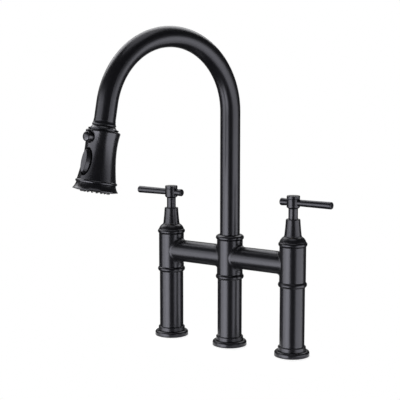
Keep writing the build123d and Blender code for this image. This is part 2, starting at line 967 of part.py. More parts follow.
def rocker_plane(height):
    """Plane at a height over the rocker's rim: local x runs down, local y across."""
    return Plane(origin=rocker_centre + rocker_normal * height, x_dir=rocker_along, z_dir=rocker_normal)


rocker_across = Plane(
    origin=rocker_centre,
    x_dir=rocker_sideways,
    z_dir=rocker_along,
)
button_z = head_start + button_station
spigot_radius = dock_bore - clearance
pocket_length = rocker_length / 2 + rocker_pocket_margin
pocket_width = rocker_width / 2 + rocker_pocket_margin
button_mouth_radius = button_pocket_radius + (head_rim_radius - button_floor) * math.tan(
    math.radians(button_pocket_draft)
)


def head_top_line():
    """Ring, groove and rim at the top of the head, drawn into the current line."""
    ring_z = head_start + head_ring_station
    ring_end = ring_z + head_ring_thickness
    rim_z = head_start + head_rim_station
    top = (neck_collar_radius - edge_break, head_start)
    ring = (head_ring_radius - edge_break / 2, ring_z)
    rim = (head_rim_radius - edge_break, rim_z - head_rim_lip)
    ThreePointArc(top, bowed(top, ring, -head_shoulder_hollow), ring)
    Polyline(
        ring,
        (head_ring_radius, ring_z + edge_break / 2),
        (head_ring_radius, ring_end),
        (head_ring_radius - 2 * edge_break, ring_end + edge_break),
        (head_ring_radius - 2 * edge_break, ring_end + 2 * edge_break),
        rim,
        (head_rim_radius, rim_z),
    )
    return top


def barrel_line(inset, start, end):
    """Waisted flank of the head, this far inside its outer face."""
    Spline(
        start,
        (head_waist_radius - inset, head_start + head_waist_station),
        (head_belly_radius - inset, head_start + head_belly_station),
        end,
    )


with BuildPart() as spray_head_shell:
    # Walls behind both pockets, cut to the outer form of the head.
    with BuildSketch(head_front(button_z, button_floor - pocket_floor)):
        Circle(button_mouth_radius + head_wall / 2)
    extrude(amount=head_rim_radius / 2)
    with BuildSketch(rocker_plane(-rocker_pocket_depth - pocket_floor)):
        Ellipse(pocket_length + head_wall / 2, pocket_width + head_wall / 2)
    extrude(amount=head_rim_radius / 2)
    with BuildSketch(head_section):
        with BuildLine():
            top = head_top_line()
            rim = (head_rim_radius, head_start + head_rim_station)
            barrel_line(0, rim, (head_foot_radius, head_end))
            Polyline((head_foot_radius, head_end), (0, head_end), (0, head_start), top)
        make_face()
    revolve(axis=head_axis, mode=Mode.INTERSECT)
    # The wall itself.
    with BuildSketch(head_section):
        with BuildLine():
            top = head_top_line()
            barrel_line(0, rim, (head_foot_radius, head_end))
            inner_rim = (head_rim_radius - head_wall, head_start + head_rim_station + head_wall)
            inner_foot = (head_foot_radius - head_wall, head_end)
            barrel_line(head_wall, inner_rim, inner_foot)
            Line((head_foot_radius, head_end), inner_foot)
            Polyline(
                inner_rim,
                (spigot_radius + head_wall * 2, head_start + head_roof),
                (spigot_radius + slip, head_start + head_roof),
                (spigot_radius + slip, head_start),
                top,
            )
        make_face()
    revolve(axis=head_axis)
    # Button pocket, its flared mouth and the hole for the plunger.
    with BuildSketch(head_front(button_z, button_floor)):
        Circle(button_pocket_radius)
    extrude(amount=head_rim_radius, taper=-button_pocket_draft, mode=Mode.SUBTRACT)
    with BuildSketch(head_front(button_z, button_floor - pocket_floor)):
        Circle(plunger_radius + clearance)
    extrude(amount=2 * pocket_floor, mode=Mode.SUBTRACT)
    # Rocker pocket with sloping sides, and the slot for the rocker's lug.
    floor_inset = rocker_pocket_depth * math.tan(math.radians(rocker_pocket_slope)) / 2
    with BuildSketch(rocker_plane(-rocker_pocket_depth)):
        Ellipse(pocket_length - floor_inset, pocket_width - floor_inset)
    with BuildSketch(rocker_plane(0)):
        Ellipse(pocket_length + floor_inset / 2, pocket_width + floor_inset)
    with BuildSketch(rocker_plane(rocker_pocket_depth)):
        Ellipse(pocket_length + floor_inset, pocket_width + 3 * floor_inset)
    loft(mode=Mode.SUBTRACT)
    slot_length = rocker_lug_length + 4 * clearance
    slot_width = rocker_lug_width + 2 * clearance
    with BuildSketch(rocker_plane(-rocker_pocket_depth - pocket_floor)):
        Rectangle(slot_length, slot_width)
    extrude(amount=2 * pocket_floor, mode=Mode.SUBTRACT)
    # Two brackets under the floor that hold the rocker's pin.
    bracket_offset = slot_width / 2 + bracket_width / 2
    with BuildSketch(rocker_plane(-bracket_depth)):
        with Locations((0, -bracket_offset), (0, bracket_offset)):
            Rectangle(slot_length, bracket_width)
    extrude(amount=bracket_depth - rocker_pocket_depth - pocket_floor / 2)
    pin_plane = Plane(
        origin=rocker_centre - rocker_normal * rocker_pin_depth,
        x_dir=rocker_along,
        z_dir=rocker_sideways,
    )
    with BuildSketch(pin_plane):
        Circle(rocker_pin_radius + slip)
    extrude(amount=bracket_offset + bracket_width, both=True, mode=Mode.SUBTRACT)
keep(spray_head_shell, "spray_head_shell")

# Spigot, water pipe and the flange that closes the head, as one turned piece.
pipe_roof = head_start + head_roof
spigot_start = head_start - spigot_length
hose_seat_end = spigot_start + spigot_hose_seat
waterway_points = (
    (hose_radius + slip, spigot_start),
    (spigot_radius, spigot_start),
    (spigot_radius, pipe_roof),
    (spigot_radius + head_wall, pipe_roof),
    (spigot_radius + head_wall, pipe_roof + head_flange_thickness),
    (head_pipe_radius, pipe_roof + head_flange_thickness),
    (head_pipe_radius, head_flange_end - head_flange_thickness),
    (bezel_bore - slip, head_flange_end - head_flange_thickness),
    (bezel_bore - slip, head_flange_end),
    (head_pipe_bore, head_flange_end),
    (head_pipe_bore, hose_seat_end),
    (hose_radius + slip, hose_seat_end),
)
keep(turned(head_section, head_axis, waterway_points), "spray_waterway")

with BuildPart() as spray_bezel:
    with BuildSketch(head_section):
        with BuildLine():
            start = (head_foot_radius - edge_break, head_end)
            groove = (head_foot_radius, head_end + bezel_bead_height)
            skirt = (head_foot_radius + edge_break, groove[1] + edge_break)
            rim = (bezel_radius, bezel_end - bezel_lip)
            ThreePointArc(start, (bezel_bead_radius, head_end + bezel_bead_height / 2), groove)
            Line(groove, skirt)
            ThreePointArc(skirt, bowed(skirt, rim, -bezel_hollow), rim)
            Polyline(
                rim,
                (bezel_radius, bezel_end),
                (bezel_radius - bezel_lip, bezel_end),
                (bezel_radius - bezel_lip, bezel_end - plate_lip),
                (plate_step_radius + slip, bezel_end - plate_lip),
                (plate_step_radius + slip, plate_start),
                (bezel_bore, plate_start),
                (bezel_bore, head_end),
                start,
            )
        make_face()
    revolve(axis=head_axis)
keep(spray_bezel, "spray_bezel")

nozzle_hole = nozzle_radius + slip
plate_radius = bezel_radius - bezel_lip - slip
with BuildPart() as spray_plate:
    with BuildSketch(head_section):
        with BuildLine():
            Polyline(
                (aerator_radius + slip, plate_start),
                (plate_step_radius, plate_start),
                (plate_step_radius, bezel_end - plate_lip),
                (plate_radius, bezel_end - plate_lip),
                (plate_radius, bezel_end),
                (plate_radius - plate_bevel, plate_end),
                (aerator_radius + slip, plate_end),
                close=True,
            )
        make_face()
    revolve(axis=head_axis)
    with BuildSketch(head_level(plate_start)):
        for row_radius, count in nozzle_rows:
            with PolarLocations(row_radius, count):
                Circle(nozzle_hole)
    extrude(amount=plate_thickness, mode=Mode.SUBTRACT)
keep(spray_plate, "spray_plate")

with BuildPart() as nozzle_pad:
    with BuildSketch(head_level(head_flange_end)):
        Circle(bezel_bore - slip)
        Circle(aerator_radius + slip, mode=Mode.SUBTRACT)
    extrude(amount=pad_thickness)
    with BuildSketch(head_level(plate_start)):
        for row_radius, count in nozzle_rows:
            with PolarLocations(row_radius, count):
                Circle(nozzle_radius)
    extrude(amount=plate_thickness + nozzle_length)
keep(nozzle_pad, "nozzle_pad")

with BuildPart() as aerator:
    with BuildSketch(head_level(head_flange_end)):
        Circle(aerator_radius)
    extrude(amount=pad_thickness + plate_thickness + aerator_length)
    with BuildSketch(head_level(plate_end + aerator_length)):
        Circle(aerator_radius - aerator_rim)
    extrude(amount=-aerator_length, mode=Mode.SUBTRACT)
    with BuildSketch(head_level(head_flange_end)):
        for row_radius, count in aerator_rows:
            with PolarLocations(row_radius, count):
                Circle(aerator_hole_radius)
    extrude(amount=pad_thickness + plate_thickness, mode=Mode.SUBTRACT)
keep(aerator, "aerator")

# ---------------------------------------------------------------- button and rocker

button_bottom = button_floor + button_travel + clearance
with BuildPart() as spray_button:
    with BuildSketch(head_front(button_z, button_bottom)):
        Circle(button_radius)
    extrude(amount=button_side_top - button_bottom)
    with BuildSketch(Plane(origin=arch_end + down * button_z, x_dir=down, z_dir=down.cross(front))):
        with BuildLine():
            button_crown = button_top - button_side_top
            EllipticalCenterArc((0, button_side_top), button_radius, button_crown, arc_size=90)
            Polyline((0, button_top), (0, button_side_top), (button_radius, button_side_top))
        make_face()
    revolve(axis=Axis(arch_end + down * button_z, front))
    with BuildSketch(head_front(button_z, button_bottom)):
        Circle(button_hollow)
    extrude(amount=button_side_top - button_bottom - edge_break, mode=Mode.SUBTRACT)
    with BuildSketch(head_front(button_z, button_bottom - plunger_length)):
        Circle(plunger_radius)
    extrude(amount=plunger_length + button_side_top - button_bottom)
    collar_top = button_floor - pocket_floor - disc_gap
    with BuildSketch(head_front(button_z, button_bottom - plunger_length)):
        Circle(plunger_collar_radius)
    extrude(amount=collar_top - button_bottom + plunger_length)
keep(spray_button, "spray_button")

spring_start = button_floor + spring_wire
spring_end = button_side_top - edge_break - spring_wire
spring_height = spring_end - spring_start
spring_foot = arch_end + down * button_z + front * spring_start
with BuildPart() as spray_button_spring:
    with BuildLine() as coil:
        Helix(spring_height / spring_turns, spring_height, spring_radius, spring_foot, front)
    with BuildSketch(Plane(origin=coil.line @ 0, z_dir=coil.line % 0)):
        Circle(spring_wire)
    sweep(is_frenet=True)
keep(spray_button_spring, "spray_button_spring")

with BuildPart() as spray_rocker:
    with BuildSketch(rocker_plane(0)):
        Ellipse(rocker_length / 2, rocker_width / 2)
    with BuildSketch(rocker_plane(rocker_rise)):
        Ellipse(rocker_length / 2 - rocker_lean, rocker_width / 2 - rocker_lean)
    loft(ruled=True)
    # The face is crowned across and its edge is rounded.
    with BuildSketch(rocker_across):
        with BuildLine():
            low = (-rocker_width / 2, rocker_rise - rocker_crown)
            high = (rocker_width / 2, rocker_rise - rocker_crown)
            ThreePointArc(low, (0, rocker_rise), high)
            Polyline(high, (rocker_width / 2, 0), (-rocker_width / 2, 0), low)
        make_face()
    extrude(amount=rocker_length, both=True, mode=Mode.INTERSECT)
    face_edge = spray_rocker.faces().sort_by(Axis(rocker_centre, rocker_normal))[-1].edges()
    fillet(face_edge, rocker_round)
    with BuildSketch(rocker_plane(-rocker_skirt)):
        Ellipse(rocker_length / 2, rocker_width / 2)
    extrude(amount=rocker_skirt)
    lug_depth = rocker_pin_depth + rocker_pin_radius + edge_break
    with BuildSketch(rocker_plane(-lug_depth)):
        Rectangle(rocker_lug_length, rocker_lug_width)
    extrude(amount=lug_depth - rocker_skirt / 2)
    with BuildSketch(pin_plane):
        Circle(rocker_pin_radius + running)
    extrude(amount=rocker_lug_width, both=True, mode=Mode.SUBTRACT)
keep(spray_rocker, "spray_rocker")

with BuildPart() as spray_rocker_pin:
    with BuildSketch(pin_plane):
        Circle(rocker_pin_radius)
    extrude(amount=bracket_offset + bracket_width / 2, both=True)
keep(spray_rocker_pin, "spray_rocker_pin")
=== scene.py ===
"""Bridge kitchen faucet in satin black, dressed round its CAD model.

Metres, in the frame of the CAD model: the origin is where the axis of the centre leg meets the
deck, +Z is up, +X runs along the bridge to the right handle and -Y points to the person at the
sink. The sections follow the faucet as it is put together, from the deck up to the spray head.
"""

import math

import bmesh
import bpy
import numpy as np
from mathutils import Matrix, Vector


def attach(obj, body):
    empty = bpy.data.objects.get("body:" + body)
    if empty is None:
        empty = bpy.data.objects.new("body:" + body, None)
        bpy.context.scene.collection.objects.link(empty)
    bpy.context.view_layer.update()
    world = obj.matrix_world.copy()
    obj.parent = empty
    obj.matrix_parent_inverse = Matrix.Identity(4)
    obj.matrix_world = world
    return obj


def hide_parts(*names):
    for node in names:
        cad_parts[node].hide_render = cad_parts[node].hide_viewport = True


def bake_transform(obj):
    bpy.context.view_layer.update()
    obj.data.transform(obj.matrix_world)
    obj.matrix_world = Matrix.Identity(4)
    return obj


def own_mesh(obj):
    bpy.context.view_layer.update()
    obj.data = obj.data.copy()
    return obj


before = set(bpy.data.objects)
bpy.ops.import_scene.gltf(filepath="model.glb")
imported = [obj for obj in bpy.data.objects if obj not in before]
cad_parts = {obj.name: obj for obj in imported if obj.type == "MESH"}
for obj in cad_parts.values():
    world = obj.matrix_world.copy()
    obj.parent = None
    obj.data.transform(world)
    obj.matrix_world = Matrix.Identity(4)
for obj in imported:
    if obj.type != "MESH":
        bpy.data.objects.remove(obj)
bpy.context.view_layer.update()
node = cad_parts

# ---------------------------------------------------------------- camera
# A short telephoto shot from the right of the sink, a little above the bridge. It has no shift,
# no roll and no depth of field.

camera_place = Vector((0.86473, -1.28635, 0.40370))
camera_back = Vector((0.575245, -0.808031, 0.127193))  # from the faucet to the camera
camera_bearing = math.degrees(math.atan2(camera_back.x, -camera_back.y))


def add_object(name, data):
    """Put a mesh, camera or lamp into the scene."""
    made = bpy.data.objects.new(name, data)
    bpy.context.scene.collection.objects.link(made)
    return made


def look_from(thing, place, back):
    """Put a camera or lamp at a place, facing against the direction back."""
    thing.location = place
    thing.rotation_mode = "QUATERNION"
    thing.rotation_quaternion = (-back).to_track_quat("-Z", "Y")


camera = add_object("camera", bpy.data.cameras.new("camera"))
camera.data.lens = 101.504
camera.data.sensor_width = 36.0
look_from(camera, camera_place, camera_back)
bpy.context.scene.camera = camera

# ---------------------------------------------------------------- soft boxes
# Upright soft boxes stand on both sides, with a low one on the right and others overhead and high
# at the back. The front stays open, which leaves the dark band down the middle of a tube.

lamp_distance = 1.6
lamp_aim = Vector((0.0, 0.0, 0.2))
# bearing from the camera, elevation, width and height in degrees, then radiance
soft_boxes = {
    "left_near": (-43, -14, 34, 34, 5.3),
    "left_far": (-76, -14, 32, 34, 3.5),
    "left_high": (-68, 13, 60, 20, 2.2),
    "right": (61, -14, 66, 34, 2.8),
    "right_high": (64, 8, 54, 10, 1.4),
    "right_low": (66, -42, 66, 22, 1.9),
    "overhead": (0, 86, 36, 36, 1.2),
    "back_high": (-167, 50, 78, 40, 2.4),
    "back_left": (-132, 27, 36, 24, 1.0),
}

for name, (bearing, rise, width, height, radiance) in soft_boxes.items():
    lamp = bpy.data.lights.new(name, "AREA")
    lamp.shape = "RECTANGLE"
    lamp.size = 2 * lamp_distance * math.tan(math.radians(width / 2))
    lamp.size_y = 2 * lamp_distance * math.tan(math.radians(height / 2))
    lamp.energy = radiance * math.pi * lamp.size * lamp.size_y
    turn = math.radians(camera_bearing + bearing)
    lift = math.radians(rise)
    towards = Vector(
        (math.sin(turn) * math.cos(lift), -math.cos(turn) * math.cos(lift), math.sin(lift))
    )
    look_from(add_object(name, lamp), lamp_aim + towards * lamp_distance, towards)

# ---------------------------------------------------------------- backdrop
# A white sweep stands behind the faucet and fills the picture. The finish shows it too, as thin
# pale lines where a tube turns away. The rest of the room is dim.

sweep_half_angle = (14.5, 20.0)  # where the sweep's white starts to fade, and where it ends
room_level = 0.05
white = (1.0, 1.0, 1.0, 1.0)


def link(tree, output, socket):
    """Join a node's output to another's input."""
    tree.links.new(output, socket)


def maths(tree, operation, first, second):
    """Math node on two values, each a socket or a number."""
    made = tree.nodes.new("ShaderNodeMath")
    made.operation = operation
    for place, value in enumerate((first, second)):
        if isinstance(value, (int, float)):
            made.inputs[place].default_value = value
        else:
            link(tree, value, made.inputs[place])
    return made.outputs[0]


def between(tree, field, source, target, smooth=False):
    """Carry a field from one range of values to another, without passing the ends."""
    made = tree.nodes.new("ShaderNodeMapRange")
    if smooth:
        made.interpolation_type = "SMOOTHSTEP"
    made.inputs["From Min"].default_value = source[0]
    made.inputs["From Max"].default_value = source[1]
    made.inputs["To Min"].default_value = target[0]
    made.inputs["To Max"].default_value = target[1]
    link(tree, field, made.inputs["Value"])
    return made.outputs["Result"]


def light_paths(tree):
    """Two outputs: 1 on rays from the camera, and 1 on rays that gloss or glass sends out."""
    ray = tree.nodes.new("ShaderNodeLightPath")
    shiny = maths(tree, "MAXIMUM", ray.outputs["Is Glossy Ray"], ray.outputs["Is Transmission Ray"])
    return ray.outputs["Is Camera Ray"], shiny


world = bpy.data.worlds.new("studio")
world.use_nodes = True
room = world.node_tree
heading = room.nodes.new("ShaderNodeTexCoord")
facing = room.nodes.new("ShaderNodeVectorMath")
facing.operation = "DOT_PRODUCT"
facing.inputs[1].default_value = tuple(-camera_back)
link(room, heading.outputs["Generated"], facing.inputs[0])
fade = tuple(math.cos(math.radians(angle)) for angle in reversed(sweep_half_angle))
sweep = between(room, facing.outputs["Value"], fade, (room_level, 1.0), smooth=True)
from_camera, from_gloss = light_paths(room)
seen = maths(room, "MAXIMUM", maths(room, "MULTIPLY", sweep, from_gloss), from_camera)
backdrop = room.nodes["Background"]
backdrop.inputs["Color"].default_value = white
link(room, maths(room, "MAXIMUM", seen, room_level), backdrop.inputs["Strength"])
bpy.context.scene.world = world
bpy.context.scene.view_settings.view_transform = "Standard"

# ---------------------------------------------------------------- deck
# A narrow white slab stands in for the sink deck. It shows as the sweep does, and it keeps a
# faint shadow under the flanges.

deck_size = (0.29, 0.062, 0.02)
deck_glow = 0.8  # of the backdrop's white

corners = np.array([(x, y, z) for x in (-0.5, 0.5) for y in (-0.5, 0.5) for z in (-1.0, 0.0)])
sides = [(0, 1, 3, 2), (4, 6, 7, 5), (0, 4, 5, 1), (2, 3, 7, 6), (0, 2, 6, 4), (1, 5, 7, 3)]
slab = bpy.data.meshes.new("deck")
slab.from_pydata((corners * deck_size).tolist(), [], sides)
deck = add_object("deck", slab)

white_paint = bpy.data.materials.new("white_paint")
white_paint.use_nodes = True
tree = white_paint.node_tree
shader = tree.nodes["Principled BSDF"]
shader.inputs["Base Color"].default_value = (0.5, 0.5, 0.5, 1.0)
shader.inputs["Roughness"].default_value = 0.9
shader.inputs["Specular IOR Level"].default_value = 0.0
shader.inputs["Emission Color"].default_value = white
from_camera, from_gloss = light_paths(tree)
shown = maths(tree, "MAXIMUM", from_gloss, from_camera)
link(tree, maths(tree, "MULTIPLY", shown, deck_glow), shader.inputs["Emission Strength"])
slab.materials.append(white_paint)

# ---------------------------------------------------------------- legs
# Three brass tubes stand on deck flanges with a rolled ring at the top. Every visible metal
# piece is blasted and powder coated satin black; the coat flows out with a faint orange peel.

noise_range = (0.3, 0.7)  # where nearly all of a noise field lies


def new_finish(name, colour, roughness, metallic=0.0, specular=0.5, tint=(1.0, 1.0, 1.0)):
    """Material whose plain values sit on the shader's own sockets."""
    made = bpy.data.materials.new(name)
    made.use_nodes = True
    surface = made.node_tree.nodes["Principled BSDF"]
    surface.inputs["Base Color"].default_value = (*colour, 1.0)
    surface.inputs["Roughness"].default_value = roughness
    surface.inputs["Metallic"].default_value = metallic
    surface.inputs["Specular IOR Level"].default_value = specular
    surface.inputs["Specular Tint"].default_value = (*tint, 1.0)
    return made


def grain(finish, size, stretch=(1.0, 1.0, 1.0), detail=2.0):
    """Noise over the piece's own coordinates, in cells of this size, drawn out along X, Y or Z."""
    tree = finish.node_tree
    place = tree.nodes.new("ShaderNodeTexCoord")
    scale = tree.nodes.new("ShaderNodeMapping")
    scale.inputs["Scale"].default_value = tuple(1 / (size * drawn) for drawn in stretch)
    noise = tree.nodes.new("ShaderNodeTexNoise")
    noise.inputs["Scale"].default_value = 1.0
    noise.inputs["Detail"].default_value = detail
    link(tree, place.outputs["Object"], scale.inputs["Vector"])
    link(tree, scale.outputs["Vector"], noise.inputs["Vector"])
    return noise.outputs["Fac"]


def vary_gloss(finish, field, smooth, rough):
    """Let the roughness follow a field between two values."""
    tree = finish.node_tree
    roughness = between(tree, field, noise_range, (smooth, rough))
    link(tree, roughness, tree.nodes["Principled BSDF"].inputs["Roughness"])


def vary_colour(finish, field, dark, light):
    """Let the colour follow a field between two colours."""
    tree = finish.node_tree
    blend = tree.nodes.new("ShaderNodeMix")
    blend.data_type = "RGBA"
    blend.inputs["A"].default_value = (*dark, 1.0)
    blend.inputs["B"].default_value = (*light, 1.0)
    link(tree, between(tree, field, noise_range, (0.0, 1.0)), blend.inputs["Factor"])
    link(tree, blend.outputs["Result"], tree.nodes["Principled BSDF"].inputs["Base Color"])


def raise_relief(finish, field, height):
    """Let a field raise the surface by up to this height."""
    tree = finish.node_tree
    bump = tree.nodes.new("ShaderNodeBump")
    bump.inputs["Distance"].default_value = height
    link(tree, field, bump.inputs["Height"])
    link(tree, bump.outputs["Normal"], tree.nodes["Principled BSDF"].inputs["Normal"])


def dress(finish, *names):
    """Give CAD nodes a finish."""
    for name in names:
        slots = node[name].data.materials
        slots.clear()
        slots.append(finish)


black = (0.004, 0.004, 0.005)
black_spread = ((0.0032, 0.0032, 0.004), (0.0048, 0.0048, 0.006))
cool_sheen = (0.88, 0.88, 1.0)
powder_coat = new_finish("powder_coat", black, 0.29, tint=cool_sheen)
vary_colour(powder_coat, grain(powder_coat, 0.004), *black_spread)
vary_gloss(powder_coat, grain(powder_coat, 0.018), 0.28, 0.30)
raise_relief(powder_coat, grain(powder_coat, 0.004), 0.0000015)

for side in ("left", "centre", "right"):
    dress(powder_coat, f"{side}_deck_flange", f"{side}_leg_tube", f"{side}_leg_ring")

# The gaskets under the flanges and the seals inside are moulded black rubber, dull and a little
# chalky, pressed into their grooves.
seal_rubber = new_finish("seal_rubber", (0.018, 0.018, 0.018), 0.62, specular=0.35)
vary_colour(seal_rubber, grain(seal_rubber, 0.002), (0.014, 0.014, 0.014), (0.024, 0.024, 0.023))
vary_gloss(seal_rubber, grain(seal_rubber, 0.0015), 0.55, 0.7)
raise_relief(seal_rubber, grain(seal_rubber, 0.0004, detail=3.0), 0.00001)
dress(seal_rubber, "deck_gaskets")

# Supply tubes and the centre shank are turned brass, left bright. Fine tool marks run round
# their axis.
brass = (0.78, 0.57, 0.27)
dull_brass = (0.66, 0.44, 0.17)
turned_brass = new_finish("turned_brass", brass, 0.28, metallic=1.0)
vary_colour(turned_brass, grain(turned_brass, 0.006), dull_brass, brass)
vary_gloss(turned_brass, grain(turned_brass, 0.003), 0.22, 0.36)
raise_relief(turned_brass, grain(turned_brass, 0.0002, stretch=(30.0, 30.0, 1.0)), 0.000004)
dress(turned_brass, "left_inlet_tube", "right_inlet_tube", "centre_shank")

# ---------------------------------------------------------------- bodies and bridge
# Two valve bodies and the mixing body carry the bridge. The bridge tubes are brazed between
# them and coated with them; the water runs in smaller brass pipes inside.

dress(powder_coat, "left_valve_body", "right_valve_body", "centre_body")
dress(powder_coat, "left_bridge_tube", "right_bridge_tube")

body_radius = 0.018
tube_radius = 0.01557
bridge_height = 0.1257
leg_spacing = 0.1016
braze_radius = 0.0055
braze_depth = 0.0004  # how far the hidden side lies inside the metal
braze_around = 144  # points round the tube
braze_across = 13  # rows across the fillet


def loop_surface(name, rows, uv=None):
    """Closed surface from a grid of points whose rows and columns both run round in a loop.

    Seen from outside, a row runs to the right and a column runs down.
    """
    count, around = rows.shape[:2]
    index = np.arange(count * around).reshape(count, around)
    below = np.roll(index, -1, 0)
    quads = np.stack((index, below, np.roll(below, -1, 1), np.roll(index, -1, 1)), 2)
    quads = quads.reshape(-1, 4)
    mesh = bpy.data.meshes.new(name)
    mesh.from_pydata(rows.reshape(-1, 3).tolist(), [], quads.tolist())
    mesh.polygons.foreach_set("use_smooth", np.ones(len(quads), bool))
    if uv is not None:
        # A face in the last column takes the values past the seam.
        right = np.concatenate((uv[:, 1:], uv[:, :1] + (1.0, 0.0)), 1)
        lower = np.roll(uv, -1, 0)
        lower_right = np.roll(right, -1, 0)
        corners = np.stack((uv, lower, lower_right, right), 2).reshape(-1, 2)
        mesh.uv_layers.new(name="length").data.foreach_set("uv", corners.ravel())
    return add_object(name, mesh)


def braze_ring(name, x, way):
    """Fillet where a bridge tube meets an upright body at x, on the side that way points to.

    A ball of the braze's radius rolls in the corner. Its middle is that radius outside both
    cylinders, and the fillet is the arc between the points where the ball touches them. One
    more row behind the arc, inside the metal, closes the ring.
    """
    turn = 2 * np.pi * np.arange(braze_around) / braze_around
    spoke = np.stack((np.zeros_like(turn), np.cos(turn), np.sin(turn)), 1)
    middle = (tube_radius + braze_radius) * spoke
    middle[:, 0] = np.sqrt((body_radius + braze_radius) ** 2 - middle[:, 1] ** 2)
    to_tube = -spoke
    to_body = -middle * (1.0, 1.0, 0.0) / (body_radius + braze_radius)
    opening = np.arccos((to_tube * to_body).sum(1))[None, :, None]
    share = np.linspace(0.0, 1.0, braze_across)[:, None, None]
    arc = np.sin((1 - share) * opening) * to_tube + np.sin(share * opening) * to_body
    arc /= np.sin(opening)
    corner = tube_radius * spoke
    corner[:, 0] = np.sqrt(body_radius**2 - corner[:, 1] ** 2)
    inward = corner - middle
    inward /= np.linalg.norm(inward, axis=1)[:, None]
    rows = np.concatenate((middle + braze_radius * arc, [corner + braze_depth * inward]))
    rows = rows * (way, 1.0, 1.0) + (x, 0.0, bridge_height)
    return loop_surface(name, rows if way > 0 else rows[::-1])


for name, x, way in (
    ("left_braze", -leg_spacing, 1),
    ("centre_left_braze", 0.0, -1),
    ("centre_right_braze", 0.0, 1),
    ("right_braze", leg_spacing, -1),
):
    braze = braze_ring(name, x, way)
    braze.data.materials.append(powder_coat)
    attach(braze, "frame")

drawn_brass = new_finish("drawn_brass", brass, 0.25, metallic=1.0)
vary_colour(drawn_brass, grain(drawn_brass, 0.006), dull_brass, brass)
vary_gloss(drawn_brass, grain(drawn_brass, 0.002, stretch=(12.0, 1.0, 1.0)), 0.2, 0.34)
raise_relief(drawn_brass, grain(drawn_brass, 0.0003, stretch=(40.0, 1.0, 1.0)), 0.000003)
dress(drawn_brass, "bridge_waterways")

# ---------------------------------------------------------------- bonnets and cartridges
# A coated bonnet screws down over each quarter-turn cartridge. The cartridge is turned brass
# with two ground ceramic discs, and it seals on a rubber ring.

dress(powder_coat, "left_bonnet", "right_bonnet")
for side in ("left", "right"):
    dress(turned_brass, f"{side}_cartridge_body", f"{side}_valve_stem")
dress(turned_brass, "cartridge_nuts")
dress(seal_rubber, "seat_seals")

ground_ceramic = new_finish("ground_ceramic", (0.78, 0.77, 0.73), 0.22)
vary_colour(ground_ceramic, grain(ground_ceramic, 0.001), (0.74, 0.73, 0.69), (0.80, 0.79, 0.75))
vary_gloss(ground_ceramic, grain(ground_ceramic, 0.0006), 0.18, 0.28)
dress(ground_ceramic, "fixed_discs", "left_moving_disc", "right_moving_disc")

# ---------------------------------------------------------------- handles
# Each handle is a coated cone and hub on a post, with a cross bar screwed into its knob. A steel
# grub screw in the back locks it to the stem.

for side in ("left", "right"):
    dress(powder_coat, f"{side}_handle_cone", f"{side}_handle_post", f"{side}_hub_cap")
    dress(powder_coat, f"{side}_lever_bar", f"{side}_lever_knob")

bright_steel = new_finish("bright_steel", (0.56, 0.56, 0.55), 0.3, metallic=1.0)
vary_colour(bright_steel, grain(bright_steel, 0.001), (0.5, 0.5, 0.49), (0.6, 0.6, 0.59))
vary_gloss(bright_steel, grain(bright_steel, 0.0003), 0.22, 0.38)
raise_relief(bright_steel, grain(bright_steel, 0.0002, detail=3.0), 0.000003)
dress(bright_steel, "left_set_screw", "right_set_screw")

# ---------------------------------------------------------------- spout bearing
# A coated collar closes the top of the mixing body. Inside it an acetal bushing and two O-rings
# carry the spout, and a thin pipe takes the mixed water down and back to the hose.

dress(powder_coat, "spout_collar")
dress(seal_rubber, "spout_o_rings")
dress(turned_brass, "mixed_outlet_pipe")

white_acetal = new_finish("white_acetal", (0.74, 0.74, 0.71), 0.4)
vary_colour(white_acetal, grain(white_acetal, 0.005), (0.72, 0.72, 0.69), (0.76, 0.76, 0.73))
vary_gloss(white_acetal, grain(white_acetal, 0.0012), 0.36, 0.46)
raise_relief(white_acetal, grain(white_acetal, 0.0005), 0.000004)
dress(white_acetal, "spout_bushing")

# ---------------------------------------------------------------- gooseneck
# The spout is one brass tube, bent over a mandrel and coated. A flared collar is pressed on its
# end round the plastic guide that the spray head docks in.

dress(powder_coat, "gooseneck", "neck_collar")
dress(white_acetal, "dock_guide")

# ---------------------------------------------------------------- hose
# The spray hose is a rubber tube in a tight jacket of braided black nylon. It runs up the spout
# and over the arch; when the head is pulled, more of it comes out of the neck.

hose_radius = 0.0065
hose_bore = 0.0044
hose_start = 0.017  # above the deck
hose_seat = 0.0268  # past the end of the arch, inside the spray head's spigot
braid_strands = 16  # each way round
braid_lead = 0.0026  # along the hose from one strand to the next
braid_depth = 0.00035
map_rate = 20  # of the jacket's map for each metre along the hose
fibre_scale = (90.0, 260.0)  # cells of the fibre's noise on that map, round and along
pull_travel = 0.2

arch_base = 0.3268
arch_radius = 0.1013
arch_sweep = math.radians(169.9)
spout_turn = math.radians(16.6)
spout_reach = np.array((-math.sin(spout_turn), -math.cos(spout_turn), 0.0))
spout_side = np.cross(spout_reach, (0.0, 0.0, 1.0))
head_down = spout_reach * math.sin(arch_sweep) + np.array((0.0, 0.0, math.cos(arch_sweep)))
arch_end = (
    spout_reach * arch_radius * (1 - math.cos(arch_sweep))
    + np.array((0.0, 0.0, arch_base + arch_radius * math.sin(arch_sweep)))
)


def spout_line(run):
    """Points and forward directions along the spout's middle line, at distances from its foot.

    Straight up to the arch, then a circle in the plane of the spout, then straight down the head.
    """
    climb = np.clip(run, 0.0, arch_base - hose_start)
    angle = np.clip((run - climb) / arch_radius, 0.0, arch_sweep)
    rest = run - climb - angle * arch_radius
    up = np.array((0.0, 0.0, 1.0))
    bend = arch_radius * ((1 - np.cos(angle))[:, None] * spout_reach + np.sin(angle)[:, None] * up)
    points = (hose_start + climb)[:, None] * up + bend + rest[:, None] * head_down
    forward = np.sin(angle)[:, None] * spout_reach + np.cos(angle)[:, None] * up
    return points, forward


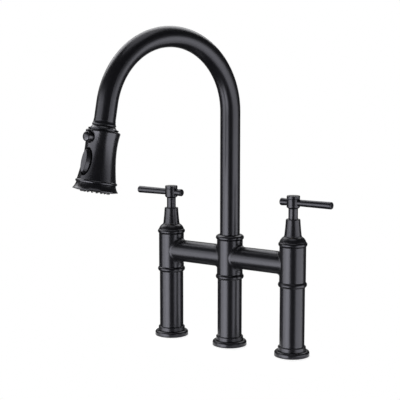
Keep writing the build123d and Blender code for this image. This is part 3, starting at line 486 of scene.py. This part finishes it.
def braid(around, along):
    """Height of a plain braid, from 0 in its gaps to 1 on top of a strand.

    Two sets of strands wind opposite ways, each a half sine across its width, and which set lies
    on top changes from one crossing to the next.
    """
    one_way = around * braid_strands + along / braid_lead
    other_way = around * braid_strands - along / braid_lead
    first = np.abs(np.sin(np.pi * one_way))
    second = np.abs(np.sin(np.pi * other_way))
    on_top = (np.floor(one_way) + np.floor(other_way)) % 2 == 0
    return np.where(on_top, np.maximum(first, 0.5 * second), np.maximum(second, 0.5 * first))


def hose_piece(name, run, length, around, depth):
    """Hose with its bore: out along the outside of the jacket and back along the bore.

    run places each ring on the spout's middle line, length is how far along the hose it lies, and
    depth is how far the braid's gaps lie below its strands.
    """
    points, forward = spout_line(run)
    outward = np.cross(forward, spout_side)
    turn = np.arange(around) / around
    spoke = (
        np.cos(2 * np.pi * turn)[None, :, None] * outward[:, None, :]
        + np.sin(2 * np.pi * turn)[None, :, None] * spout_side
    )
    radius = hose_radius - depth * (1 - braid(turn[None, :], length[:, None]))
    jacket = points[:, None, :] + radius[:, :, None] * spoke
    bore = (points[:, None, :] + hose_bore * spoke)[::-1]
    uv = np.stack(np.broadcast_arrays(turn[None, :], length[:, None] * map_rate), 2)
    return loop_surface(name, np.concatenate((jacket, bore)), np.concatenate((uv, uv[::-1])))


braided_nylon = new_finish("braided_nylon", (0.02, 0.02, 0.021), 0.42, specular=0.45)
tree = braided_nylon.node_tree
strand_map = tree.nodes.new("ShaderNodeUVMap")
strand_map.uv_map = "length"
strand_scale = tree.nodes.new("ShaderNodeMapping")
strand_scale.inputs["Scale"].default_value = (*fibre_scale, 1.0)
fibre = tree.nodes.new("ShaderNodeTexNoise")
fibre.inputs["Scale"].default_value = 1.0
link(tree, strand_map.outputs["UV"], strand_scale.inputs["Vector"])
link(tree, strand_scale.outputs["Vector"], fibre.inputs["Vector"])
vary_colour(braided_nylon, fibre.outputs["Fac"], (0.012, 0.012, 0.013), (0.032, 0.032, 0.034))
vary_gloss(braided_nylon, fibre.outputs["Fac"], 0.34, 0.5)
raise_relief(braided_nylon, fibre.outputs["Fac"], 0.00004)

# Nothing of the braid shows inside the spout, so the hose is smooth there.
spout_grid = (220, 48)  # rings along the hose, and points round each
arch_run = arch_base - hose_start + arch_radius * arch_sweep
spout_rings = np.linspace(0.0, arch_run, spout_grid[0])
hose_in_spout = hose_piece(
    "hose_in_spout", spout_rings, spout_rings, around=spout_grid[1], depth=0.0
)
hose_in_spout.data.materials.append(braided_nylon)
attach(hose_in_spout, "spout")
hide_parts("spray_hose")

# The pull draws out a short stretch of the hose in the neck, by a smooth step from its upper end
# to its lower end. Its rings are set so that they and the braid come out even at full pull.
neck_stretch = 0.015
neck_grid = (480, 96)
trial_count = 4001
trial_rings = np.linspace(0.0, hose_seat, trial_count)
share = np.clip(trial_rings / neck_stretch, 0.0, 1.0)
pulled_length = trial_rings + share * share * (3 - 2 * share) * pull_travel
even_length = np.linspace(0.0, pulled_length[-1], neck_grid[0])
neck_rings = np.interp(even_length, pulled_length, trial_rings)
hose_pulled = hose_piece(
    "hose_pulled", arch_run + neck_rings, even_length, around=neck_grid[1], depth=braid_depth
)
hose_pulled.data.materials.append(braided_nylon)
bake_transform(hose_pulled)
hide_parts("spray_hose")

# ---------------------------------------------------------------- spray head
# The head is moulded in two shots and painted to match the metal, a touch glossier. A waterway
# inside takes the hose, and a bezel snaps on below with the face plate in it.

head_paint = new_finish("head_paint", black, 0.25, specular=0.65, tint=cool_sheen)
vary_colour(head_paint, grain(head_paint, 0.004), (0.0032, 0.0032, 0.004), (0.005, 0.005, 0.006))
vary_gloss(head_paint, grain(head_paint, 0.015), 0.24, 0.265)
raise_relief(head_paint, grain(head_paint, 0.004), 0.000001)
dress(head_paint, "spray_head_shell", "spray_bezel")

face_plastic = new_finish("face_plastic", (0.006, 0.006, 0.007), 0.36)
vary_colour(face_plastic, grain(face_plastic, 0.003), (0.005, 0.005, 0.006), (0.008, 0.008, 0.009))
vary_gloss(face_plastic, grain(face_plastic, 0.002), 0.33, 0.4)
raise_relief(face_plastic, grain(face_plastic, 0.0004, detail=3.0), 0.000004)
dress(face_plastic, "spray_plate")

core_plastic = new_finish("core_plastic", (0.06, 0.06, 0.062), 0.45)
vary_colour(core_plastic, grain(core_plastic, 0.004), (0.05, 0.05, 0.052), (0.07, 0.07, 0.072))
vary_gloss(core_plastic, grain(core_plastic, 0.0015), 0.4, 0.52)
raise_relief(core_plastic, grain(core_plastic, 0.0005), 0.000006)
dress(core_plastic, "spray_waterway")

dress(white_acetal, "aerator")

# ---------------------------------------------------------------- nozzles
# One silicone pad lies behind the face plate and pushes 32 soft nozzles through it in two rings.
# Each tapers to a dimpled tip that is rubbed with a thumb to clear scale.

plate_back = 0.1083  # past the end of the arch, along the head
plate_depth = 0.0048
pad_thickness = 0.0016
pad_inner, pad_outer = 0.00765, 0.02295  # radii
pad_around = 96
nozzle_around = 20
nozzle_rings = ((0.018, 20), (0.0125, 12))  # circle radius and count
# radius, and distance past the face of the plate
nozzle_outline = (
    (0.0, -0.0056),
    (0.00123, -0.0056),
    (0.00123, 0.0),
    (0.00119, 0.0003),
    (0.00106, 0.0012),
    (0.00092, 0.00152),
    (0.00074, 0.00165),
    (0.00058, 0.00158),
    (0.0005, 0.0013),
    (0.00046, 0.0008),
    (0.0, 0.0007),
)
merge_within = 1e-7  # points nearer than this become one

head_turn = math.radians(9.0)  # of the button's side from the plane of the spout
head_ahead = np.cross(np.cross(head_down, spout_reach), head_down)
head_ahead /= np.linalg.norm(head_ahead)
head_front = (
    head_ahead * math.cos(head_turn) - np.cross(head_down, head_ahead) * math.sin(head_turn)
)
head_side = np.cross(head_down, head_front)


def turned_rows(profile, around):
    """Points of a turned form on the head's axis, from its radii and distances past plate_back.

    Each row is a circle of one radius, square to the axis.
    """
    turn = 2 * np.pi * np.arange(around) / around
    spoke = np.cos(turn)[:, None] * head_front + np.sin(turn)[:, None] * head_side
    middle = arch_end + (plate_back + profile[:, 1])[:, None] * head_down
    return middle[:, None, :] + profile[:, 0][:, None, None] * spoke


def join_grids(name, grids):
    """One mesh of many grids of the same shape, each closed round its columns, poles merged."""
    grids = np.asarray(grids)
    count, rows, around = grids.shape[:3]
    index = np.arange(count * rows * around).reshape(count, rows, around)
    step = index[:, :-1], index[:, 1:]
    quads = np.stack((step[0], step[1], np.roll(step[1], -1, 2), np.roll(step[0], -1, 2)), 3)
    mesh = bpy.data.meshes.new(name)
    mesh.from_pydata(grids.reshape(-1, 3).tolist(), [], quads.reshape(-1, 4).tolist())
    shape = bmesh.new()
    shape.from_mesh(mesh)
    bmesh.ops.remove_doubles(shape, verts=shape.verts, dist=merge_within)
    bmesh.ops.recalc_face_normals(shape, faces=shape.faces)
    shape.to_mesh(mesh)
    shape.free()
    mesh.polygons.foreach_set("use_smooth", np.ones(len(mesh.polygons), bool))
    return add_object(name, mesh)


angle = np.concatenate([2 * np.pi * np.arange(count) / count for _, count in nozzle_rings])
reach_out = np.concatenate([np.full(count, radius) for radius, count in nozzle_rings])
nozzle_place = reach_out[:, None] * (
    np.cos(angle)[:, None] * head_front + np.sin(angle)[:, None] * head_side
)
nozzle_rows = turned_rows(np.array(nozzle_outline) + (0.0, plate_depth), nozzle_around)
nozzles = join_grids("nozzles", nozzle_place[:, None, None, :] + nozzle_rows)

pad_outline = np.array(
    [(pad_inner, -pad_thickness), (pad_outer, -pad_thickness), (pad_outer, 0.0), (pad_inner, 0.0)]
)
pad = loop_surface("nozzle_backing", turned_rows(pad_outline, pad_around)[::-1])
pad.data.polygons.foreach_set("use_smooth", np.zeros(len(pad.data.polygons), bool))

silicone = new_finish("silicone", (0.03, 0.03, 0.032), 0.5, specular=0.4)
vary_colour(silicone, grain(silicone, 0.0015), (0.024, 0.024, 0.026), (0.036, 0.036, 0.038))
vary_gloss(silicone, grain(silicone, 0.0008), 0.45, 0.58)
raise_relief(silicone, grain(silicone, 0.0003), 0.000006)
for piece in (nozzles, pad):
    piece.data.materials.append(silicone)
    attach(piece, "spray_head")
    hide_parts("nozzle_pad")

# ---------------------------------------------------------------- button and rocker
# The push button pauses the spray and the rocker changes its pattern. Both are moulded plastic
# in the head's paint; the rocker tips on a steel pin and a small coil lifts the button.

button_paint = new_finish("button_paint", black, 0.22, specular=0.65, tint=cool_sheen)
vary_colour(
    button_paint, grain(button_paint, 0.003), (0.0034, 0.0034, 0.004), (0.005, 0.005, 0.006)
)
vary_gloss(button_paint, grain(button_paint, 0.006), 0.205, 0.235)
raise_relief(button_paint, grain(button_paint, 0.003), 0.0000008)
dress(button_paint, "spray_button", "spray_rocker")
dress(bright_steel, "spray_rocker_pin")

coil_station = 0.0458  # past the end of the arch
coil_ends = (0.0174, 0.0261)  # from the head's axis
coil_radius = 0.0036
coil_wire = 0.00035
coil_turns = 5
coil_grid = (240, 10)  # steps along the wire, and points round it


def coil_surface(steps, around):
    """Wire wound in a helix about the button's axis.

    The wire's middle goes round a circle while it climbs at a steady rate, and its own circle
    lies square to that path. At each end that circle shrinks to a point, which closes the wire.
    """
    share = np.linspace(0.0, 1.0, steps)
    turn = 2 * np.pi * coil_turns * share
    climb = coil_ends[0] + (coil_ends[1] - coil_ends[0]) * share
    radial = np.cos(turn)[:, None] * head_down + np.sin(turn)[:, None] * head_side
    station = arch_end + coil_station * head_down
    middle = station + climb[:, None] * head_front + coil_radius * radial
    forward = np.gradient(middle, axis=0)
    forward /= np.linalg.norm(forward, axis=1)[:, None]
    upright = np.cross(forward, radial)
    spin = 2 * np.pi * np.arange(around) / around
    thickness = np.where((share > 0) & (share < 1), coil_wire, 0.0)
    spoke = (
        np.cos(spin)[None, :, None] * radial[:, None, :]
        + np.sin(spin)[None, :, None] * upright[:, None, :]
    )
    return middle[:, None, :] + thickness[:, None, None] * spoke


coil = join_grids("button_coil", [coil_surface(*coil_grid)])
coil.data.materials.append(bright_steel)
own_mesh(coil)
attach(coil, "spray_head")
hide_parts("spray_button_spring")
